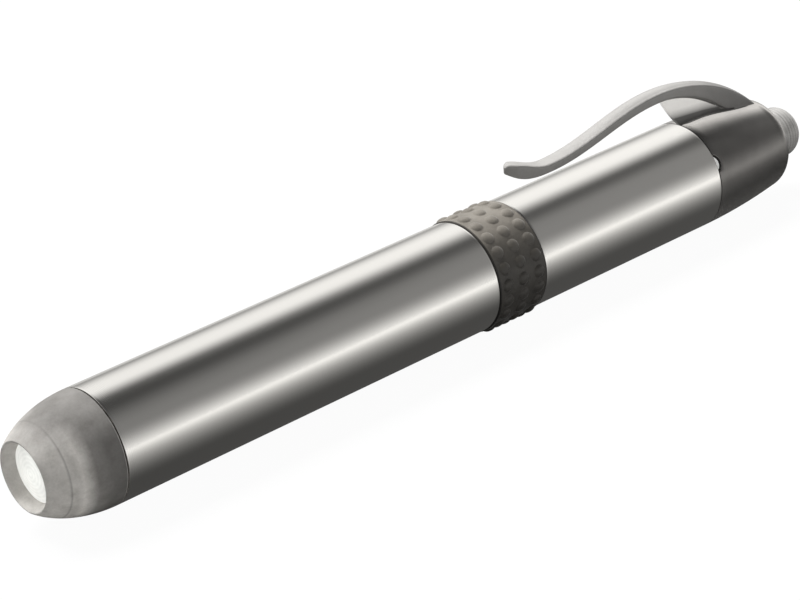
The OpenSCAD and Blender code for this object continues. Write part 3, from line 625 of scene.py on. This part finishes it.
button = {"radius": 3.35, "tip": 114.5, "crown": 2.5, "flangeRadius": 4.6, "flangeStart": 105.2, "flangeEnd": 106.3,
          "stem": 1.6, "stemEnd": 109.0, "groove": 109.6, "grooveWidth": 0.28, "grooveDepth": 0.16}
crownStart = button["tip"] - button["crown"]
buttonCrown = [(crownStart + button["crown"] * math.sin(math.pi / 2 * i / 24),
                button["radius"] * math.cos(math.pi / 2 * i / 24)) for i in range(24)] + [(button["tip"], 0)]
grooveSides = [(button["groove"] + button["grooveWidth"] * share, button["radius"] - button["grooveDepth"] * deep)
               for share, deep in ((0, 0), (0.2, 1), (0.8, 1), (1, 0))]
pushButton = lathe("pushButton", [(button["stemEnd"], 0), (button["stemEnd"], button["stem"]),
                                  (button["flangeStart"], button["stem"]),
                                  (button["flangeStart"], button["flangeRadius"]),
                                  (button["flangeEnd"], button["flangeRadius"]),
                                  (button["flangeEnd"], button["radius"])] + grooveSides + buttonCrown,
                   frostedPlastic)
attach(pushButton, "button")
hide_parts("push_button")


print("grip ring")
ring = {"start": 55.08, "end": 62.77, "band": 7.12, "seat": 6.65, "edge": 0.14, "rows": 3, "pitch": 2.55, "count": 21,
        "bump": 1.62, "height": 0.33, "flatness": 2.2, "steepness": 0.7, "stations": 92, "aroundBump": 34}


def bumpRise(away):
    # a round bump with a full crown and a steep edge
    share = min(1.0, away / (ring["bump"] / 2))
    return ring["height"] * (1 - share ** ring["flatness"]) ** ring["steepness"]


def makeRing():
    start, end, edge = ring["start"], ring["end"], ring["edge"]
    count = ring["stations"]
    top = [(start + edge + (end - start - 2 * edge) * i / count, ring["band"]) for i in range(count + 1)]
    outline = ([(start, ring["seat"])] + arc((start + edge, ring["band"] - edge), edge, 180, 90, 4)[:-1] + top +
               arc((end - edge, ring["band"] - edge), edge, 90, 0, 4)[1:] + [(end, ring["seat"])])
    piece = lathe("gripRing", outline, gripRubber, ring["count"] * ring["aroundBump"], 60)
    middle, outer, turn = (start + end) / 2, (ring["rows"] - 1) // 2, fullTurn / ring["count"]
    for vertex in piece.data.vertices:
        x = vertex.co.x * 1000 + pen["middle"]
        y, z = vertex.co.y * 1000, vertex.co.z * 1000 - pen["axisHeight"]
        radius = math.hypot(y, z)
        if radius < ring["band"] - 0.01:
            continue
        row = max(-outer, min(outer, round((x - middle) / ring["pitch"])))
        around = math.atan2(y, z)
        off = around - round(around / turn) * turn
        away = math.hypot(x - middle - row * ring["pitch"], off * ring["band"])
        scale = (radius + bumpRise(away)) / radius
        vertex.co.y = y * scale / 1000
        vertex.co.z = (z * scale + pen["axisHeight"]) / 1000
    return piece


gripRing = makeRing()
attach(gripRing, "barrel")
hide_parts("grip_ring")


print("cap and clip")
cap = {"front": 93.92, "edge": 0.06, "sideStart": 95.0, "draw": 0.88, "curve": 13.0, "corner": 2.0, "end": 108.8,
       "flat": 4.1, "hole": 3.75, "holeEdge": 0.1, "sealFloor": 107.4, "seal": 4.4, "cavityBack": 106.6, "cavity": 5.6,
       "neckBack": 98.0, "neck": 6.0, "notchAngle": 61.6, "notch": 1.35, "notchMiddle": 93.3}


def capRadius(x):
    turnsIn = cap["end"] - cap["corner"]
    narrow = pen["tubeRadius"] - cap["draw"]
    if x < turnsIn:
        return pen["tubeRadius"] - cap["draw"] * ((x - pen["tubeLength"]) / cap["curve"]) ** 2
    share = min(1.0, (x - turnsIn) / cap["corner"])
    return cap["flat"] + (narrow - cap["flat"]) * math.sqrt(1 - share ** 2)


def makeCapBody():
    front, edge, end = cap["front"], cap["edge"], cap["end"]
    first, turnsIn = cap["sideStart"], end - cap["corner"]
    places = [first + (turnsIn - first) * i / 24 for i in range(25)]
    places += [turnsIn + cap["corner"] * math.sin(math.pi / 2 * i / 16) for i in range(1, 17)]
    outside = [(x, capRadius(x)) for x in places]
    outline = ([(front, cap["neck"])] + arc((front + edge, capRadius(front) - edge), edge, 180, 90, 3) + outside +
               [(end, cap["hole"] + cap["holeEdge"]), (end - cap["holeEdge"], cap["hole"]),
                (cap["sealFloor"], cap["hole"]), (cap["sealFloor"], cap["seal"]), (cap["cavityBack"], cap["seal"]),
                (cap["cavityBack"], cap["cavity"]), (cap["neckBack"], cap["cavity"]), (cap["neckBack"], cap["neck"])])
    piece = lathe("capBody", outline, smokyCap, 720, 30)
    for vertex in piece.data.vertices:
        x = vertex.co.x * 1000 + pen["middle"]
        if x > front + 2 * edge:
            continue
        around = math.atan2(-vertex.co.y * 1000, vertex.co.z * 1000 - pen["axisHeight"])
        aside = (around - math.radians(cap["notchAngle"])) * pen["tubeRadius"]
        if abs(aside) < cap["notch"]:
            vertex.co.x += max(0.0, cap["notchMiddle"] + math.sqrt(cap["notch"] ** 2 - aside ** 2) - front) / 1000
    return piece


clip = {"tip": 63.4, "low": 70.0, "crest": 89.2, "end": 107.9, "lowHeight": 8.9, "crestHeight": 13.2, "thick": 1.2,
        "crestThick": 1.5, "lift": 1.7, "spine": 26.0, "arch": 17.5, "width": 1.15, "crown": 0.42, "edge": 0.32,
        "lowerEdge": 0.22, "web": 0.3, "fillet": 0.45, "flare": 0.35, "webStart": 90.0, "lean": 5.0, "bend": 0.8,
        "kneeHeight": 7.9, "toeHeight": 6.7, "webGrows": (97.4, 104.0), "webSeen": 103.0, "tipReach": 1.3,
        "tipWidth": 0.12, "tipBlunt": 0.35, "bluntReach": 0.6, "flareEnd": 95.2, "archMeets": (96.0, 99.0), "sunk": 0.4,
        "stations": 260}


def eased(value, first, last):
    t = max(0.0, min(1.0, (value - first) / (last - first)))
    return t * t * (3 - 2 * t)


def softGreater(first, second, reach):
    return (first + second + math.sqrt((first - second) ** 2 + reach ** 2)) / 2


def clipRamp(f):
    return (1 - math.cos(math.pi * f)) / 2


def clipTop(x):
    low = clip["lowHeight"] + clip["thick"]
    if x < clip["low"]:
        return low + clip["lift"] * clipRamp((clip["low"] - x) / (clip["low"] - clip["tip"]))
    if x < clip["crest"]:
        return low + (clip["crestHeight"] - low) * clipRamp((x - clip["low"]) / (clip["crest"] - clip["low"]))
    return clip["crestHeight"] - clip["spine"] + math.sqrt(clip["spine"] ** 2 - (x - clip["crest"]) ** 2)


def clipUnder(x):
    low, crest = clip["lowHeight"], clip["crestHeight"] - clip["crestThick"]
    if x < clip["low"]:
        return low + clip["lift"] * ((clip["low"] - x) / (clip["low"] - clip["tip"])) ** 2.7
    if x < clip["crest"]:
        return low + (crest - low) * clipRamp((x - clip["low"]) / (clip["crest"] - clip["low"]))
    return crest - clip["arch"] + math.sqrt(max(0.0, clip["arch"] ** 2 - (x - clip["crest"]) ** 2))


def webBottom(x):
    # the web's free front edge, a curve from the arm down to the cap's rim: x runs lean * f - bend * f ** 2 along it
    lean, bend = clip["lean"], clip["bend"]
    f = (lean - math.sqrt(max(0.0, lean ** 2 - 4 * bend * (x - clip["webStart"])))) / (2 * bend)
    start = clipUnder(clip["webStart"]) + 0.4
    return (1 - f) ** 2 * start + 2 * f * (1 - f) * clip["kneeHeight"] + f * f * clip["toeHeight"]


def webHalf(x, width):
    # the web grows to the arm's width where the arch runs into the cap
    if x < clip["webStart"]:
        return min(clip["web"], width)
    return clip["web"] + (width - clip["web"]) * eased(x, *clip["webGrows"])


def clipSection(x):
    # one side of the clip's section at x, from the middle of its top to the middle of its foot: (y, z) over the axis
    tipShare = max(0.0, min(1.0, (x - clip["tip"]) / clip["tipReach"]))
    width = clip["tipWidth"] + (clip["width"] - clip["tipWidth"]) * tipShare ** 0.75
    blunt = clip["tipBlunt"] * (1 - min(1.0, (x - clip["tip"]) / clip["bluntReach"])) ** 2
    top, under = clipTop(x) - blunt, clipUnder(x) + blunt
    crown = clip["crown"] * (0.15 + 0.85 * eased(x, clip["tip"], clip["crest"])) * width / clip["width"]
    edge = min(clip["edge"], 0.45 * width, 0.35 * (top - under) if x < clip["crest"] else clip["edge"])
    shoulder = top - crown * ((width - edge) / width) ** 2 - edge
    web = webHalf(x, width)
    if x < clip["webStart"]:
        root, flare, hidden = under, 0.0, 0.0
    elif x < cap["front"]:
        root, flare, hidden = min(under, webBottom(x)), 0.0, 0.0
    else:
        flare = clip["flare"] * eased(x, cap["front"], clip["flareEnd"])
        surface = math.sqrt(max(1.0, capRadius(x) ** 2 - (web + flare) ** 2))
        flare *= max(0.0, min(1.0, (shoulder - surface) / 1.2))
        root, hidden = surface - 0.03, clip["sunk"]
        under = softGreater(under, root + flare, 0.5 * eased(x, *clip["archMeets"]))
    under = min(under, shoulder - 0.01)
    root = min(root, under)
    lower = min(clip["lowerEdge"], 0.4 * width, 0.4 * max(0.0, shoulder - under), max(0.0, width - web) * 0.5)
    fillet = min(clip["fillet"], 0.45 * max(0.0, under - root - flare), max(0.0, width - lower - web) * 0.9)
    points = [((width - edge) * k / 6, top - crown * ((width - edge) * k / 6 / width) ** 2) for k in range(7)]
    points += arc((width - edge, shoulder), edge, 72, 0, 4)
    drop = shoulder - under - lower
    points += [(width, shoulder - drop * k / 4) for k in (1, 2, 3)]
    points += arc((width - lower, under + lower), lower, 0, -90, 4)
    points += arc((web + fillet, under - fillet), fillet, 90, 180, 5)
    rest = under - fillet - root - flare
    points += [(web, under - fillet - rest * k / 6) for k in range(1, 6)]
    points += arc((web + flare, root + flare), flare, 180, 270, 6)
    points += [(web + flare, root - hidden), (0.0, root - hidden)]
    return points


def clipPart(face):
    # 0 the arm's sides, 1 the web, 2 the arm's crown, its upward faces, which are painted lighter as lit from above
    middle = face.calc_center_median()
    x, z = middle.x * 1000 + pen["middle"], middle.z * 1000 - pen["axisHeight"]
    onWeb = abs(middle.y) * 1000 < webHalf(x, clip["width"]) + 0.04
    if onWeb and clip["webStart"] + 0.2 < x < clip["webSeen"] and z < max(clipUnder(x), capRadius(x) + 0.5) - 0.1:
        return 1
    return 2 if face.normal.z > 0.5 and z > clipUnder(x) + 0.3 else 0


def makeClip():
    half = len(clipSection(80.0))
    around = 2 * half - 2
    span = clip["end"] - clip["tip"]
    places = [clip["tip"] + span * (i / clip["stations"]) for i in range(clip["stations"] + 1)]
    places += [clip["tip"] + 0.02 * k * k for k in range(1, 6)] + [cap["front"] - 0.01, cap["front"] + 0.01]
    places.sort()
    sections = []
    for x in places:
        side = clipSection(x)
        sections.append([(-y, z) for y, z in side] + side[-2:0:-1] + [(-side[0][0], side[0][1])])
    bm = bmesh.new()
    bmesh.ops.create_grid(bm, x_segments=len(places) - 1, y_segments=around, size=1)
    for vertex in bm.verts:
        i = round((vertex.co.x + 1) / 2 * (len(places) - 1))
        k = round((vertex.co.y + 1) / 2 * around)
        y, z = sections[i][k]
        vertex.co = spot(places[i], y, z)
    bmesh.ops.remove_doubles(bm, verts=bm.verts, dist=2e-6)
    bmesh.ops.holes_fill(bm, edges=[e for e in bm.edges if e.is_boundary], sides=0)
    bmesh.ops.recalc_face_normals(bm, faces=bm.faces)
    smoothed(bm, 40)
    for face in bm.faces:
        face.material_index = clipPart(face)
    piece = meshObject("pocketClip", bm, smokyClip)
    piece.data.materials.append(smokyWeb)
    piece.data.materials.append(clipPaintedLitTop)
    return piece


bush = {"start": 86.0, "end": 98.0, "bore": 5.4, "tube": 6.2, "neck": 6.0, "sealStart": 95.8, "sealEnd": 96.6,
        "sealFloor": 5.7, "lug": 1.13, "lugStart": 93.94, "lugEnd": 94.42, "lugTop": 6.86, "lugFoot": 5.9, "rim": 0.1}


def makeLug():
    # the round-ended lug that keys the cap: a disc cut off at the tube's end, turned to the notch
    bm = bmesh.new()
    bmesh.ops.create_circle(bm, cap_ends=True, radius=bush["lug"], segments=64)
    grown = bmesh.ops.extrude_face_region(bm, geom=bm.faces[:])
    top = [v for v in grown["geom"] if isinstance(v, bmesh.types.BMVert)]
    for vertex in top:
        vertex.co.z += bush["lugTop"] - bush["lugFoot"]
    rims = [e for e in bm.edges if all(v in top for v in e.verts)]
    bmesh.ops.bevel(bm, geom=rims, offset=bush["rim"], segments=3, affect="EDGES", profile=0.5, material=-1)
    turnTo = Matrix.Rotation(math.radians(cap["notchAngle"]), 3, "X")
    for vertex in bm.verts:
        aside = vertex.co.y
        x = min(bush["lugEnd"], max(bush["lugStart"], cap["notchMiddle"] + vertex.co.x))
        round_ = math.sqrt(bush["lugTop"] ** 2 - aside ** 2) - bush["lugTop"]
        place = turnTo @ Vector((0, aside, bush["lugFoot"] + vertex.co.z + round_))
        vertex.co = spot(x, place.y, place.z)
    bmesh.ops.remove_doubles(bm, verts=bm.verts, dist=1e-6)
    bmesh.ops.recalc_face_normals(bm, faces=bm.faces)
    smoothed(bm, 40)
    return meshObject("bushLug", bm, lugPaleGlint)


tailBush = lathe("tailBush", [(bush["start"], bush["bore"]), (bush["start"], bush["tube"]),
                              (pen["tubeLength"], bush["tube"]), (pen["tubeLength"], bush["neck"]),
                              (bush["sealStart"], bush["neck"]), (bush["sealStart"], bush["sealFloor"]),
                              (bush["sealEnd"], bush["sealFloor"]), (bush["sealEnd"], bush["neck"]),
                              (bush["end"], bush["neck"]), (bush["end"], bush["bore"])], bushPaintedShade)
for piece in (tailBush, makeLug()):
    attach(piece, "barrel")
    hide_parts("tail_bush")


print("springs")
springs = {"tail_spring": {"start": 93.57, "end": 97.33, "radius": 3.6, "wire": 0.5, "turns": 3, "follows": "core"},
           "switch_spring": {"start": 102.0, "end": 98.57, "radius": 2.6, "wire": 0.4, "turns": 3, "follows": "button"}}


def makeSpring(name, sizes):
    # round wire wound round the pen's axis between its two seats
    steps, sides = sizes["turns"] * 40, 12
    lead = 1 if sizes["end"] > sizes["start"] else -1
    first, last = sizes["start"] + lead * sizes["wire"] / 2, sizes["end"] - lead * sizes["wire"] / 2
    bm = bmesh.new()
    bmesh.ops.create_grid(bm, x_segments=steps, y_segments=sides, size=1)
    for vertex in bm.verts:
        share, around = (vertex.co.x + 1) / 2, (vertex.co.y + 1) * math.pi
        turn = fullTurn * sizes["turns"] * share
        radius = sizes["radius"] + math.cos(around) * sizes["wire"] / 2
        x = first + (last - first) * share + math.sin(around) * sizes["wire"] / 2
        vertex.co = spot(x, radius * math.cos(turn), radius * math.sin(turn))
    bmesh.ops.remove_doubles(bm, verts=bm.verts, dist=1e-6)
    bmesh.ops.holes_fill(bm, edges=[e for e in bm.edges if e.is_boundary], sides=0)
    bmesh.ops.recalc_face_normals(bm, faces=bm.faces)
    smoothed(bm, 60)
    piece = meshObject(name, bm, plainMetal)
    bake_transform(piece)
    return piece


for node, sizes in springs.items():
    piece = makeSpring(node.replace("_s", "S"), sizes)
    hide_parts(node)


for piece in (makeCapBody(), makeClip()):
    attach(piece, "barrel")
    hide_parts("tail_cap")

print("done")
